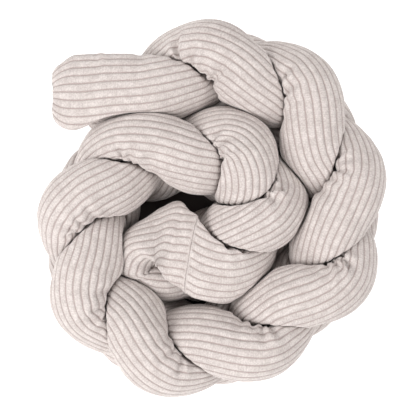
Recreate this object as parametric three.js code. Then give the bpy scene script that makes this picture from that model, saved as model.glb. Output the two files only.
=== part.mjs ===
// A braided crib bumper: a plait of stuffed corduroy tubes, coiled up and standing on its edge.
// One long tube is folded in half at the inner end, so it gives two of the three strands. A second tube gives
// the third.
// Millimetres, +Z up, with the origin on the floor under the middle of the coil.
import * as THREE from "three";

// The plait. A crest is where a strand comes to the top, and places along the braid are given as crest numbers.
const STRANDS = 3;
const HALF_HEIGHT = 51; // rise and fall of a strand's middle about the braid's middle line
const HALF_DEPTH = 26; // swing of a strand's middle to either side of that line
const LEAN = 6.5; // how far a strand leans out from the coil where it is highest
const LOW_LEAN = 1.5; // the same where it is lowest
const UNDERSIDE = 27; // from the floor up to a strand's middle where it is lowest
const PLAIT_START = 0.8; // crest numbers between which the strands change places
const PLAIT_STOP = 13.3;
const PLAIT_EASE = 0.2; // softness of that start and stop, in crests
const SWING_START = 0.6; // crest numbers between which the swing to the sides sets in
const SWING_FULL = 1.5;
const BRAID_MIDDLE = HALF_HEIGHT + UNDERSIDE;

// The braid's middle line seen from above, from the outer end of the coil to the inner one.
const PATH = [
  { crest: -0.5, x: -306, y: 166 },
  { crest: 0.3, x: -203, y: 165 },
  { crest: 1.0, x: -108, y: 169 },
  { crest: 1.5, x: -41, y: 200 },
  { crest: 2.5, x: 86, y: 181 },
  { crest: 3.5, x: 167, y: 73 },
  { crest: 4.5, x: 171, y: -60 },
  { crest: 5.5, x: 86, y: -156 },
  { crest: 6.5, x: -36, y: -201 },
  { crest: 7.5, x: -146, y: -146 },
  { crest: 8.5, x: -185, y: -35 },
  { crest: 9.5, x: -136, y: 65 },
  { crest: 10.5, x: -1, y: 85 },
  { crest: 11.5, x: 66, y: 25 },
  { crest: 12.5, x: 32, y: -47 },
  { crest: 13.5, x: -60, y: -62 },
  { crest: 14.5, x: -140, y: 10 },
];

// Where the tubes start, fold and end, as crest numbers. A strand's number is the crest that it makes first.
const TOP_STRAND = { number: 1, outerEnd: 0.12 };
const LOW_STRAND = { number: 2, outerEnd: 0.42 };
const SINGLE_STRAND = { number: 0, outerEnd: 0.42, innerEnd: 13.7 };
const SEAM_CREST = 13.2; // the cross seam on the top strand
const FOLD_CREST = 13.72; // where the fold starts and where it has come round
const FOLD_FULLNESS = 1.7; // reach of the fold, as a multiple of the distance that it spans
const FOLD_SPREAD = 38; // how far the low strand lies out to the side towards the fold
const SPREAD_FROM = 12.9; // crest numbers between which that sets in
const SPREAD_FULL = 13.5;

// The tubes.
const CLOTH_GIRTH = 240; // cloth round a tube
const FULL_RADIUS = 45.5; // largest radius of a filled tube
const LEAST_RADIUS = 25;
const END_RADIUS = 58; // largest half width where a tube lies flat
const FLATTENING = 0.2; // share by which a strand is flattened towards the braid's middle line
const FLATTENED_FROM = 40; // distance from that line at which it is flattened in full
const END_FLATTENING = 0.64; // the same where a tube lies flat, at its ends and at the fold
const END_ROUND = 34; // length over which the filling runs out at a sewn end
const END_THINNEST = 0.045; // thickness of the sewn edge, as a share of the filled thickness
const END_CORNER = 0.36; // share by which the sewn edge is narrower than the tube
const FLAT_END_FROM = 20; // distances from a sewn end between which the tube fills out
const FLAT_END_TO = 190;
const FLAT_SEAM_BEFORE = 110; // stretch round the cross seam that lies flat
const FLAT_SEAM_AFTER = 60;
const FLAT_SEAM_FILLED = 130;
const SEAM_SKEW = -0.4; // slope of the cross seam against a straight cut
const SEAM_SKEW_REACH = 110; // distance over which the sections turn to that slope
const FOLD_PINCH = 0.2; // share by which the fold is narrower than the tube
const FOLD_BEND = 40; // distances from the fold between which the tube leaves the plane of its bend
const FOLD_REACH = 110;

// The corduroy.
const WALES = 21; // ribs round a tube
const WALE_HEIGHT = 2;
const WALE_TWIST = -0.0057; // turn of the wales about a tube for each millimetre along it, in radians
const BACK_TWIST = 110; // stretch after the cross seam on which they turn the other way
const POINTS_PER_WALE = 2;

// How closely the form is worked out.
const CLEARANCE = 3.4; // between strands that press on each other
const PIECE_GAP = 0.36; // between the two tubes sewn together at the seam
const STRAND_POINTS = 3000; // points worked out along one strand, before they are spaced evenly
const FOLD_POINTS = 58; // the same round the fold
const DIRECTION_POINTS = 5; // points over which a strand's direction at the fold is taken
const CREST_DELTA = 0.001; // part of a crest over which the path's direction is taken
const SAMPLE_STEP = 4; // between the points of a tube's middle line
const SMOOTHING_ROUNDS = 6;
const CHORD_HEIGHT = 2.5; // how far the middle line may bow between two sections
const SHORTEST_STEP = 7;
const LONGEST_STEP = 42;
const STEP_GROWTH = 0.22; // sections lie closer towards a sewn end
const CONTACT_REACH = 170; // strands further away than this can't touch
const OWN_NEAREST = 10; // a tube's own samples closer than this say nothing of its bend
const OWN_REACH = 60; // a tube's own stretch that counts as the same bend and not as a neighbour
const OWN_SHARE = 0.95; // share of a bend's radius that its inner side may fill
const CONTACT_SHARPNESS = 9; // how sharply a filled section gives way to what it touches
const FLOOR_TOUCH = 0.01; // points lower than this lie on the floor
const MOST_DRAWN = 0.3; // share of its radius by which a point may be drawn in
const FILL_ROUNDS = 12;
const FILL_RATE = 0.7;
const SMALLEST = 1e-6; // keeps a division away from nought
const UP = new THREE.Vector3(0, 0, 1);

const GREIGE = 0xdcd0cb;

// Rises smoothly from 0 at the first place to 1 at the second.
const ramp = (value, from, to) => THREE.MathUtils.smoothstep(value, from, to);

// A straight line that levels off softly below the first value and above the second.
function heldBetween(value, low, high, ease) {
  const raised = low + ease * Math.log1p(Math.exp((value - low) / ease));
  return high - ease * Math.log1p(Math.exp((high - raised) / ease));
}

// A cubic from p to q that leaves along one vector and arrives along another.
function cubic(p, q, leave, arrive, share) {
  const s2 = share * share;
  const s3 = s2 * share;
  return new THREE.Vector3()
    .addScaledVector(p, 2 * s3 - 3 * s2 + 1)
    .addScaledVector(leave, s3 - 2 * s2 + share)
    .addScaledVector(q, 3 * s2 - 2 * s3)
    .addScaledVector(arrive, s3 - s2);
}

const pathPoints = PATH.map(({ x, y }) => new THREE.Vector3(x, y, 0));

// Direction of the middle line at a row of the path, for one crest.
function pathSlope(row) {
  const before = Math.max(row - 1, 0);
  const after = Math.min(row + 1, PATH.length - 1);
  const crests = PATH[after].crest - PATH[before].crest;
  return pathPoints[after].clone().sub(pathPoints[before]).divideScalar(crests);
}

// Point of the braid's middle line, on the plan, at a crest number.
function pathPoint(crest) {
  const later = PATH.findIndex((row) => row.crest > crest);
  const row = later < 0 ? PATH.length - 2 : Math.max(later - 1, 0);
  const span = PATH[row + 1].crest - PATH[row].crest;
  const leave = pathSlope(row).multiplyScalar(span);
  const arrive = pathSlope(row + 1).multiplyScalar(span);
  return cubic(pathPoints[row], pathPoints[row + 1], leave, arrive, (crest - PATH[row].crest) / span);
}

// Middle of one strand at a crest number, with the point of the braid's middle line beside it.
function strandPoint(number, crest) {
  const spine = pathPoint(crest);
  const along = pathPoint(crest + CREST_DELTA).sub(pathPoint(crest - CREST_DELTA)).normalize();
  const outward = UP.clone().cross(along);
  const held = heldBetween(crest, PLAIT_START, PLAIT_STOP, PLAIT_EASE);
  const turn = ((2 * Math.PI) / STRANDS) * (held - number);
  const swing = ramp(crest, SWING_START, SWING_FULL);
  const lean = (Math.cos(turn) > 0 ? LEAN : LOW_LEAN) * Math.cos(turn) ** 2;
  const spread = number === LOW_STRAND.number ? FOLD_SPREAD * ramp(crest, SPREAD_FROM, SPREAD_FULL) : 0;
  const side = (lean - HALF_DEPTH * Math.sin(2 * turn)) * swing + spread;
  spine.z = BRAID_MIDDLE;
  const middle = spine.clone().addScaledVector(outward, side);
  middle.z += HALF_HEIGHT * Math.cos(turn);
  return { middle, spine };
}

// Points of a strand between two crest numbers.
function strandLine(number, from, to) {
  return Array.from({ length: STRAND_POINTS }, (_, i) => {
    return strandPoint(number, THREE.MathUtils.lerp(from, to, i / (STRAND_POINTS - 1)));
  });
}

// The bend in which the folded tube turns back from one strand into another.
function foldLine(from, to) {
  const [start, end] = [from.at(-1), to[0]];
  const reach = start.middle.distanceTo(end.middle) * FOLD_FULLNESS;
  const leave = start.middle.clone().sub(from.at(-1 - DIRECTION_POINTS).middle).setLength(reach);
  const arrive = to[DIRECTION_POINTS].middle.clone().sub(end.middle).setLength(reach);
  return Array.from({ length: FOLD_POINTS }, (_, i) => {
    const share = (i + 1) / (FOLD_POINTS + 1);
    return {
      middle: cubic(start.middle, end.middle, leave, arrive, share),
      spine: start.spine.clone().lerp(end.spine, ramp(share, 0, 1)),
    };
  });
}

// A tube's middle line at even steps, smoothed, with a direction carried along it from which its angles count.
function carriedLine(points) {
  const lengths = [0];
  for (let i = 1; i < points.length; i += 1) {
    lengths.push(lengths[i - 1] + points[i].middle.distanceTo(points[i - 1].middle));
  }
  const length = lengths.at(-1);
  const count = Math.round(length / SAMPLE_STEP) + 1;
  const step = length / (count - 1);
  const line = [];
  let next = 1;
  for (let i = 0; i < count; i += 1) {
    while (next < points.length - 1 && lengths[next] < i * step) next += 1;
    const share = (i * step - lengths[next - 1]) / (lengths[next] - lengths[next - 1]);
    line.push({
      at: i * step,
      middle: points[next - 1].middle.clone().lerp(points[next].middle, share),
      spine: points[next - 1].spine.clone().lerp(points[next].spine, share),
    });
  }
  for (let round = 0; round < SMOOTHING_ROUNDS; round += 1) {
    const old = line.map((sample) => sample.middle.clone());
    for (let i = 1; i < count - 1; i += 1) {
      const beside = old[i - 1].clone().lerp(old[i + 1], 0.5);
      line[i].middle.lerp(beside, 0.5);
    }
  }
  let zero = UP.clone();
  line.forEach((sample, i) => {
    const before = line[Math.max(i - 1, 0)].middle;
    const after = line[Math.min(i + 1, count - 1)].middle;
    sample.along = after.clone().sub(before).normalize();
    zero = zero.clone().addScaledVector(sample.along, -zero.dot(sample.along)).normalize();
    sample.zero = zero;
  });
  return { line, step, length, lengths };
}

const topLine = strandLine(TOP_STRAND.number, TOP_STRAND.outerEnd, FOLD_CREST);
const lowLine = strandLine(LOW_STRAND.number, FOLD_CREST, LOW_STRAND.outerEnd);
const longTube = carriedLine([...topLine, ...foldLine(topLine, lowLine), ...lowLine]);
const singleTube = carriedLine(
  strandLine(SINGLE_STRAND.number, SINGLE_STRAND.outerEnd, SINGLE_STRAND.innerEnd),
);
const seamShare = (SEAM_CREST - TOP_STRAND.outerEnd) / (FOLD_CREST - TOP_STRAND.outerEnd);
longTube.seam = longTube.lengths[Math.round(seamShare * (topLine.length - 1))];
longTube.fold = longTube.lengths[topLine.length + FOLD_POINTS / 2];
longTube.foldMiddle = topLine.at(-1).middle.clone().lerp(lowLine[0].middle, 0.5);
const tubes = [longTube, singleTube];

// How far a place on a tube is from the nearest sewn end.
const toEnd = (tube, at) => Math.min(at, tube.length - at);

// How flat a tube lies at a place, from 0 to 1.
function flatness(tube, at) {
  const end = 1 - ramp(toEnd(tube, at), FLAT_END_FROM, FLAT_END_TO);
  if (tube.seam === undefined) return end;
  const filling = 1 - ramp(at, tube.seam + FLAT_SEAM_AFTER, tube.seam + FLAT_SEAM_FILLED);
  return Math.max(end, ramp(at, tube.seam - FLAT_SEAM_BEFORE, tube.seam) * filling);
}

// How near a place on a tube is to its fold: 1 up to a distance from it, and 0 out of the fold's reach.
function foldNearness(tube, at, full) {
  return tube.fold === undefined ? 0 : 1 - ramp(Math.abs(at - tube.fold), full, FOLD_REACH);
}

// Direction in which a section is flattened: towards the braid's middle line, upright where the tube lies flat,
// and in the plane of the bend at the fold.
function pressDirection(tube, station, flat) {
  const press = station.middle.clone().sub(station.spine).projectOnPlane(station.along).normalize();
  press.lerp(UP, flat).projectOnPlane(station.along).normalize();
  if (tube.fold === undefined) return press;
  const out = station.middle.clone().sub(tube.foldMiddle).projectOnPlane(station.along).normalize();
  if (out.dot(press) < 0) out.negate();
  return press.lerp(out, foldNearness(tube, station.at, FOLD_BEND)).normalize();
}

// Places of a tube's sections between two lengths: closer in bends, where the bow of a chord says how close,
// and towards sewn ends.
function sectionPlaces(tube, from, to) {
  const weights = [0];
  const first = Math.ceil(from / tube.step);
  const last = Math.floor(to / tube.step);
  for (let i = first; i < last; i += 1) {
    const bend = tube.line[i].along.angleTo(tube.line[i + 1].along) / tube.step;
    const chord = Math.sqrt((8 * CHORD_HEIGHT) / Math.max(bend, SMALLEST));
    const endStep = SHORTEST_STEP + STEP_GROWTH * toEnd(tube, i * tube.step);
    const step = THREE.MathUtils.clamp(Math.min(chord, endStep), SHORTEST_STEP, LONGEST_STEP);
    weights.push(weights.at(-1) + tube.step / step);
  }
  const count = Math.ceil(weights.at(-1));
  const places = [];
  let i = 1;
  for (let k = 0; k <= count; k += 1) {
    const wanted = (weights.at(-1) * k) / count;
    while (i < weights.length - 1 && weights[i] < wanted) i += 1;
    const share = (wanted - weights[i - 1]) / (weights[i] - weights[i - 1]);
    places.push(THREE.MathUtils.lerp(from, to, (i - 1 + share) / (weights.length - 1)));
  }
  return places;
}

// Everything at one place of a tube that its section needs, between two points of the line.
function stationAt(tube, at) {
  const i = Math.min(Math.floor(at / tube.step), tube.line.length - 2);
  const share = at / tube.step - i;
  const [a, b] = [tube.line[i], tube.line[i + 1]];
  const middle = a.middle.clone().lerp(b.middle, share);
  const spine = a.spine.clone().lerp(b.spine, share);
  const along = a.along.clone().lerp(b.along, share).normalize();
  const zero = a.zero.clone().lerp(b.zero, share).projectOnPlane(along).normalize();
  return { at, middle, spine, along, zero, quarter: along.clone().cross(zero) };
}

// Turn of the wales at a place on a tube. They wind round it, the other way just after the cross seam.
function waleTurn(tube, at) {
  if (tube.seam === undefined || at <= tube.seam) return WALE_TWIST * at;
  return WALE_TWIST * Math.abs(at - tube.seam - BACK_TWIST);
}

// Directions from the middle of a section to its points. Near the cross seam the section's plane is skewed.
function sectionRays(tube, station) {
  const count = WALES * POINTS_PER_WALE;
  const past = tube.seam === undefined ? 0 : station.at - tube.seam;
  const twist = waleTurn(tube, station.at);
  const skew = tube.seam === undefined ? 0 : SEAM_SKEW * (1 - ramp(Math.abs(past), 0, SEAM_SKEW_REACH));
  const level = UP.clone().cross(station.along).normalize();
  return Array.from({ length: count }, (_, j) => {
    const angle = (2 * Math.PI * j) / count + twist;
    const across = station.zero.clone().multiplyScalar(Math.cos(angle));
    across.addScaledVector(station.quarter, Math.sin(angle));
    const ray = across.clone().addScaledVector(station.along, skew * across.dot(level));
    return { across, ray };
  });
}

// How far each ray of a section may reach: half way to every strand beside it, and within the tube's own bend.
function contactLimits(tube, station, rays) {
  const limits = rays.map(() => Infinity);
  const offset = new THREE.Vector3();
  for (const other of tubes) {
    for (const sample of other.line) {
      offset.subVectors(sample.middle, station.middle);
      const distance = offset.length();
      const apart = other === tube ? Math.abs(sample.at - station.at) : Infinity;
      if (distance > CONTACT_REACH || apart < OWN_NEAREST) continue;
      const own = apart < OWN_REACH;
      const half = own ? (OWN_SHARE * distance * distance) / 2 : (distance * (distance - CLEARANCE)) / 2;
      rays.forEach(({ across, ray }, j) => {
        const towards = offset.dot(own ? across : ray);
        if (towards > SMALLEST) limits[j] = Math.min(limits[j], half / towards);
      });
    }
  }
  return limits;
}

// Points round one section: an ellipse that gives way softly to its neighbours and lies flat on the floor.
function sectionPoints(tube, station) {
  const rays = sectionRays(tube, station);
  const limits = contactLimits(tube, station, rays);
  const flat = flatness(tube, station.at);
  const off = station.middle.clone().sub(station.spine).projectOnPlane(station.along).length();
  const pressed = FLATTENING * ramp(off, 0, FLATTENED_FROM);
  const press = pressDirection(tube, station, flat);
  const thin = 1 - THREE.MathUtils.lerp(pressed, END_FLATTENING, flat);
  const pinch = 1 - FOLD_PINCH * foldNearness(tube, station.at, 0);
  const mostRadius = THREE.MathUtils.lerp(FULL_RADIUS, END_RADIUS, flat) * pinch;
  const towards = rays.map(({ across }) => Math.abs(across.dot(press)));
  const forms = towards.map((c) => 1 / Math.sqrt((c * c) / (thin * thin) + 1 - c * c));
  const reach = (radius, j) => {
    const filled = Math.pow(radius * forms[j], -CONTACT_SHARPNESS);
    const held = Math.pow(limits[j], -CONTACT_SHARPNESS);
    return Math.pow(filled + held, -1 / CONTACT_SHARPNESS);
  };
  const pointAt = (j, radius) => station.middle.clone().addScaledVector(rays[j].ray, radius);
  let radius = FULL_RADIUS;
  for (let round = 0; round < FILL_ROUNDS; round += 1) {
    const ring = rays.map((_, j) => pointAt(j, reach(radius, j)));
    const girth = ring.reduce((sum, point, j) => sum + point.distanceTo(ring[(j + 1) % ring.length]), 0);
    const wanted = radius * Math.pow(CLOTH_GIRTH / girth, FILL_RATE);
    radius = THREE.MathUtils.clamp(wanted, Math.min(LEAST_RADIUS, mostRadius), mostRadius);
  }
  const left = 1 - Math.min(toEnd(tube, station.at) / END_ROUND, 1);
  const thickness = Math.max(Math.sqrt(1 - left * left), END_THINNEST);
  const width = 1 - END_CORNER * left ** 3;
  const level = station.along.clone().cross(press);
  return rays.map(({ ray }, j) => {
    const valley = j % POINTS_PER_WALE === 0 ? 1 - WALE_HEIGHT / FULL_RADIUS : 1;
    const floor = ray.z < 0 ? -station.middle.z / ray.z : Infinity;
    const offset = ray.clone().multiplyScalar(Math.min(reach(radius, j) * valley, floor));
    const [high, wide] = [offset.dot(press), offset.dot(level)];
    offset.addScaledVector(press, high * (thickness - 1)).addScaledVector(level, wide * (width - 1));
    return offset.add(station.middle);
  });
}

// Sections of a tube at the given places. The skin is straight from one to the next, so where it would stand
// proud of the form half way between them, both are drawn in by as much. What lies on the floor stays there.
function drawnInSections(tube, places) {
  const make = (at) => {
    const station = stationAt(tube, at);
    return { ...station, ring: sectionPoints(tube, station) };
  };
  const sections = places.map(make);
  const drawn = sections.map(({ ring }) => ring.map(() => 0));
  for (let i = 0; i + 1 < sections.length; i += 1) {
    const between = make((places[i] + places[i + 1]) / 2);
    between.ring.forEach((point, j) => {
      const skin = sections[i].ring[j].clone().lerp(sections[i + 1].ring[j], 0.5);
      const proud = skin.distanceTo(between.middle) - point.distanceTo(between.middle);
      drawn[i][j] = Math.max(drawn[i][j], proud);
      drawn[i + 1][j] = Math.max(drawn[i + 1][j], proud);
    });
  }
  sections.forEach(({ ring, middle }, i) => {
    ring.forEach((point, j) => {
      const length = point.distanceTo(middle);
      if (point.z > FLOOR_TOUCH) point.lerp(middle, Math.min(drawn[i][j] / length, MOST_DRAWN));
    });
  });
  return sections;
}

// Closed skin over the sections of a tube, with a flat face at each end.
function tubeGeometry(tube, from, to, trimStart, trimEnd) {
  const sections = drawnInSections(tube, sectionPlaces(tube, from, to));
  const count = WALES * POINTS_PER_WALE;
  const [first, last] = [sections[0], sections.at(-1)];
  for (const { section, trim } of [{ section: first, trim: trimStart }, { section: last, trim: -trimEnd }]) {
    for (const point of [...section.ring, section.middle]) point.addScaledVector(section.along, trim);
  }
  const points = sections.flatMap(({ ring }) => ring);
  const startMiddle = points.push(first.middle) - 1;
  const endMiddle = points.push(last.middle) - 1;
  const lastRing = (sections.length - 1) * count;
  const faces = [];
  for (let j = 0; j < count; j += 1) {
    const next = (j + 1) % count;
    for (let row = 0; row < lastRing; row += count) {
      faces.push(row + j, row + next, row + count + next);
      faces.push(row + j, row + count + next, row + count + j);
    }
    faces.push(startMiddle, next, j);
    faces.push(endMiddle, lastRing + j, lastRing + next);
  }
  const geometry = new THREE.BufferGeometry().setFromPoints(points).setIndex(faces);
  geometry.computeVertexNormals();
  return geometry;
}

// One corduroy tube as a mesh with its own cloth.
function tubeMesh(name, tube, from, to, trimStart, trimEnd) {
  const cloth = new THREE.MeshStandardMaterial({ color: GREIGE, roughness: 0.9, metalness: 0 });
  cloth.name = name + "_cloth";
  const mesh = new THREE.Mesh(tubeGeometry(tube, from, to, trimStart, trimEnd), cloth);
  mesh.name = name;
  return mesh;
}

const bumper = new THREE.Group();
bumper.name = "braided_crib_bumper";
bumper.add(tubeMesh("strand_seamed", longTube, 0, longTube.seam, 0, PIECE_GAP / 2));
bumper.add(tubeMesh("strand_folded", longTube, longTube.seam, longTube.length, PIECE_GAP / 2, 0));
bumper.add(tubeMesh("strand_single", singleTube, 0, singleTube.length, 0, 0));

export default bumper;
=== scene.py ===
"""Looks of a braided crib bumper: a plait of stuffed corduroy tubes, coiled up and standing on its edge.

One long tube is folded in half at the inner end, so it gives two of the three strands, and a second tube
gives the third. Each tube is a section carried along its middle line. Sizes are in millimetres until a mesh
is made.
"""

import logging
import math
from dataclasses import dataclass, field
from enum import Enum

import bpy
import numpy as np
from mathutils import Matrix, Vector


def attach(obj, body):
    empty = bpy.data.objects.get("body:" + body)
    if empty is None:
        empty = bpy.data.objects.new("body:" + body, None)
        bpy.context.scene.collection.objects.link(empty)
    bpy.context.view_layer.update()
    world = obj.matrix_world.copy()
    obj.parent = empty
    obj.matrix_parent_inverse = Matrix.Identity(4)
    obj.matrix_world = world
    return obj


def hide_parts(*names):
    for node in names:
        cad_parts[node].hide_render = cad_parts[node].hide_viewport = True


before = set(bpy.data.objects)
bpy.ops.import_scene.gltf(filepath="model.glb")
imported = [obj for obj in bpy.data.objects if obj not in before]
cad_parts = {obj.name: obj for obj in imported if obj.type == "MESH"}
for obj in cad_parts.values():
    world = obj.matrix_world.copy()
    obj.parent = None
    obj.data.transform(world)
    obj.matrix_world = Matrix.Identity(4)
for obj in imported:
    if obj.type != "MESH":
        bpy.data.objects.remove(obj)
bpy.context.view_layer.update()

LOG = logging.getLogger("crib_bumper")
MILLIMETRE = 0.001
TURN = 2.0 * math.pi
UP = np.array([0.0, 0.0, 1.0])
SMALLEST = 1e-6  # keeps a division away from nought
BODY = "root"
WALE_MAP = "wales"  # name of the map of length and wale
SEWN_SHARE = "sewn"  # name of the share of sewn cloth at each point
WHITE = (1.0, 1.0, 1.0, 1.0)
MIX_LOW, MIX_HIGH, MIX_RESULT = 6, 7, 2  # colour sockets of a Mix node

Array = np.ndarray
Colour = tuple[float, float, float, float]
Pair = tuple[float, float]
Waves = tuple[tuple[float, float, float, float], ...]  # height, wave length, lobes round the tube and phase
Socket = bpy.types.NodeSocket


class Strand(Enum):
    """The strands of the plait, by the number of the crest that each makes first."""

    SINGLE = 0
    TOP = 1
    LOW = 2


def ramp(value: Array, start: float, stop: float) -> Array:
    """Smooth step: 0 up to start, 1 from stop on, and 3s^2 - 2s^3 of the share s between them."""
    share = np.clip((value - start) / (stop - start), 0.0, 1.0)
    return share * share * (3.0 - 2.0 * share)


def unit(vectors: Array) -> Array:
    """Vectors on the last axis, divided by their length."""
    return vectors / np.maximum(np.linalg.norm(vectors, axis=-1, keepdims=True), SMALLEST)


def flattened(vectors: Array, normal: Array) -> Array:
    """Vectors without their part along a unit normal."""
    return vectors - np.sum(vectors * normal, axis=-1, keepdims=True) * normal


def summed(steps: Array) -> Array:
    """Sums of the steps up to each, from nought."""
    return np.concatenate([[0.0], np.cumsum(steps)])


def columns_at(at: Array, known: Array, values: Array) -> Array:
    """Columns of values, given at known places, read off at others."""
    return np.column_stack([np.interp(at, known, column) for column in values.T])


def rows_at(wanted: Array, known: Array, values: Array, apart: float) -> Array:
    """Rows of values, given at known places, read off at others by one call with the rows set apart.

    Args:
        wanted: places wanted in each row.
        known: places given, for each row or for all.
        values: values there, for each row or for all.
        apart: distance between rows, more than the places of a row span.

    Returns:
        The values at the places wanted.
    """
    rows = apart * np.arange(len(wanted))[:, None]
    values = np.broadcast_to(values, (len(wanted), values.shape[-1]))
    return np.interp((wanted + rows).ravel(), (known + rows).ravel(), values.ravel()).reshape(wanted.shape)


def slow_waves(along: Array, turn: Array, table: Waves) -> Array:
    """Sum of height * sin(2 pi * length / wave + lobes * turn + phase) over the skin of a tube.

    Args:
        along: lengths along the tube, as a column.
        turn: angles round the tube, as rows.
        table: the waves.

    Returns:
        The sum on the grid of lengths and angles.
    """
    total = np.zeros(np.broadcast_shapes(along.shape, turn.shape))
    for height, wave, lobes, phase in table:
        total += height * np.sin(TURN * along / wave + lobes * turn + phase)
    return total


def cubic(start: Array, end: Array, leave: Array, arrive: Array, share: Array) -> Array:
    """Cubic from start to end that leaves along one vector and arrives along another.

    Args:
        start: first points.
        end: last points.
        leave: direction and speed at the first points.
        arrive: the same at the last points.
        share: how far along, from 0 to 1.

    Returns:
        Points of the cubic.
    """
    square, cube = share**2, share**3
    return (
        (2.0 * cube - 3.0 * square + 1.0) * start
        + (cube - 2.0 * square + share) * leave
        + (3.0 * square - 2.0 * cube) * end
        + (cube - square) * arrive
    )


def set_inputs(tree: bpy.types.NodeTree, node: bpy.types.Node, values: dict[str | int, object]) -> None:
    """Links or sets inputs of a node.

    Args:
        tree: tree of the node.
        node: the node.
        values: for an input's name or number, the socket that it is linked to or its constant.
    """
    for key, value in values.items():
        if isinstance(value, Socket):
            tree.links.new(value, node.inputs[key])
        else:
            node.inputs[key].default_value = value


def add_node(
    tree: bpy.types.NodeTree, kind: str, values: dict[str | int, object] | None = None, **settings: object
) -> bpy.types.Node:
    """Adds a node.

    Args:
        tree: tree that it goes into.
        kind: its type.
        values: its inputs, as for set_inputs.
        settings: its other properties.

    Returns:
        The node.
    """
    node = tree.nodes.new(kind)
    for name, setting in settings.items():
        setattr(node, name, setting)
    set_inputs(tree, node, values or {})
    return node


def mixed(tree: bpy.types.NodeTree, share: Socket, low: Colour | Socket, high: Colour | Socket) -> Socket:
    """A colour between two others, by a share."""
    tones = {"Factor": share, MIX_LOW: low, MIX_HIGH: high}
    return add_node(tree, "ShaderNodeMix", tones, data_type="RGBA").outputs[MIX_RESULT]


def put(name: str, data: bpy.types.ID) -> bpy.types.Object:
    """Puts an object into the scene.

    Args:
        name: its name.
        data: its mesh, camera or light.

    Returns:
        The object.
    """
    made = bpy.data.objects.new(name, data)
    bpy.context.scene.collection.objects.link(made)
    return made


@dataclass(frozen=True)
class PlaitPath:
    """Middle line of the plait, and how its strands rise, fall and swing about it.

    Places along the plait are crest numbers: a strand comes to the top at each third crest.
    """

    half_height: float = 51.0  # rise and fall of a strand's middle
    half_depth: float = 26.0  # its swing to either side
    lean: float = 6.5  # how far a strand leans out from the coil where it is highest
    low_lean: float = 1.5  # the same where it is lowest
    underside: float = 27.0  # from the floor up to a strand's middle where it is lowest
    start: float = 0.8  # crests between which the strands change places
    stop: float = 13.3
    ease: float = 0.2  # softness of that start and stop
    swing_start: float = 0.6  # crests between which the swing sets in
    swing_full: float = 1.5
    fold_spread: float = 38.0  # how far the low strand lies out to the side towards the fold
    spread_from: float = 12.9  # crests between which it comes to lie there
    spread_full: float = 13.5
    crest_delta: float = 0.001  # step over which the line's direction is taken
    # Columns: crest number, x and y of the middle line.
    rows: tuple[tuple[float, float, float], ...] = (
        (-0.5, -306.0, 166.0),
        (0.3, -203.0, 165.0),
        (1.0, -108.0, 169.0),
        (1.5, -41.0, 200.0),
        (2.5, 86.0, 181.0),
        (3.5, 167.0, 73.0),
        (4.5, 171.0, -60.0),
        (5.5, 86.0, -156.0),
        (6.5, -36.0, -201.0),
        (7.5, -146.0, -146.0),
        (8.5, -185.0, -35.0),
        (9.5, -136.0, 65.0),
        (10.5, -1.0, 85.0),
        (11.5, 66.0, 25.0),
        (12.5, 32.0, -47.0),
        (13.5, -60.0, -62.0),
        (14.5, -140.0, 10.0),
    )

    def plan(self, crest: Array) -> Array:
        """Middle line from above: a cubic between each two rows. Its slope at a row is that of the line from
        the row before to the row after.

        Args:
            crest: crest numbers.

        Returns:
            Points with x and y.
        """
        table = np.array(self.rows)
        at, points = table[:, 0], table[:, 1:]
        before = np.maximum(np.arange(len(at)) - 1, 0)
        after = np.minimum(np.arange(len(at)) + 1, len(at) - 1)
        slopes = (points[after] - points[before]) / (at[after] - at[before])[:, None]
        row = np.clip(np.searchsorted(at, crest, side="right") - 1, 0, len(at) - 2)
        span = (at[row + 1] - at[row])[:, None]
        share = (crest - at[row])[:, None] / span
        return cubic(points[row], points[row + 1], slopes[row] * span, slopes[row + 1] * span, share)

    def held(self, crest: Array) -> Array:
        """Crest number that levels off softly before the plait starts and after it stops."""
        raised = self.start + self.ease * np.logaddexp(0.0, (crest - self.start) / self.ease)
        return self.stop - self.ease * np.logaddexp(0.0, (self.stop - raised) / self.ease)

    def strand(self, strand: Strand, crest: Array) -> tuple[Array, Array]:
        """Middle of one strand: its height is a cosine of its turn in the plait, and its swing a sine of
        twice that turn, so that it draws a lying figure of eight about the middle line.

        Args:
            strand: which strand.
            crest: crest numbers.

        Returns:
            Points of the strand, and the points of the plait's middle line beside them.
        """
        flat = self.plan(crest)
        along = unit(self.plan(crest + self.crest_delta) - self.plan(crest - self.crest_delta))
        outward = np.column_stack([-along[:, 1], along[:, 0]])
        turn = TURN / len(Strand) * (self.held(crest) - strand.value)
        swing = ramp(crest, self.swing_start, self.swing_full)
        lean = np.where(np.cos(turn) > 0.0, self.lean, self.low_lean) * np.cos(turn) ** 2
        side = (lean - self.half_depth * np.sin(2.0 * turn)) * swing
        if strand is Strand.LOW:
            side = side + self.fold_spread * ramp(crest, self.spread_from, self.spread_full)
        height = self.half_height + self.underside
        spine = np.column_stack([flat, np.full(len(crest), height)])
        middle = np.column_stack([flat + outward * side[:, None], height + self.half_height * np.cos(turn)])
        return middle, spine


@dataclass
class Stations:
    """Places along a tube, with its middle, the plait's middle and directions square to each other."""

    line: "TubeLine"
    at: Array
    middle: Array
    spine: Array
    along: Array
    zero: Array

    @property
    def quarter(self) -> Array:
        """Direction a quarter turn on from the zero direction."""
        return np.cross(self.along, self.zero)


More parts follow.
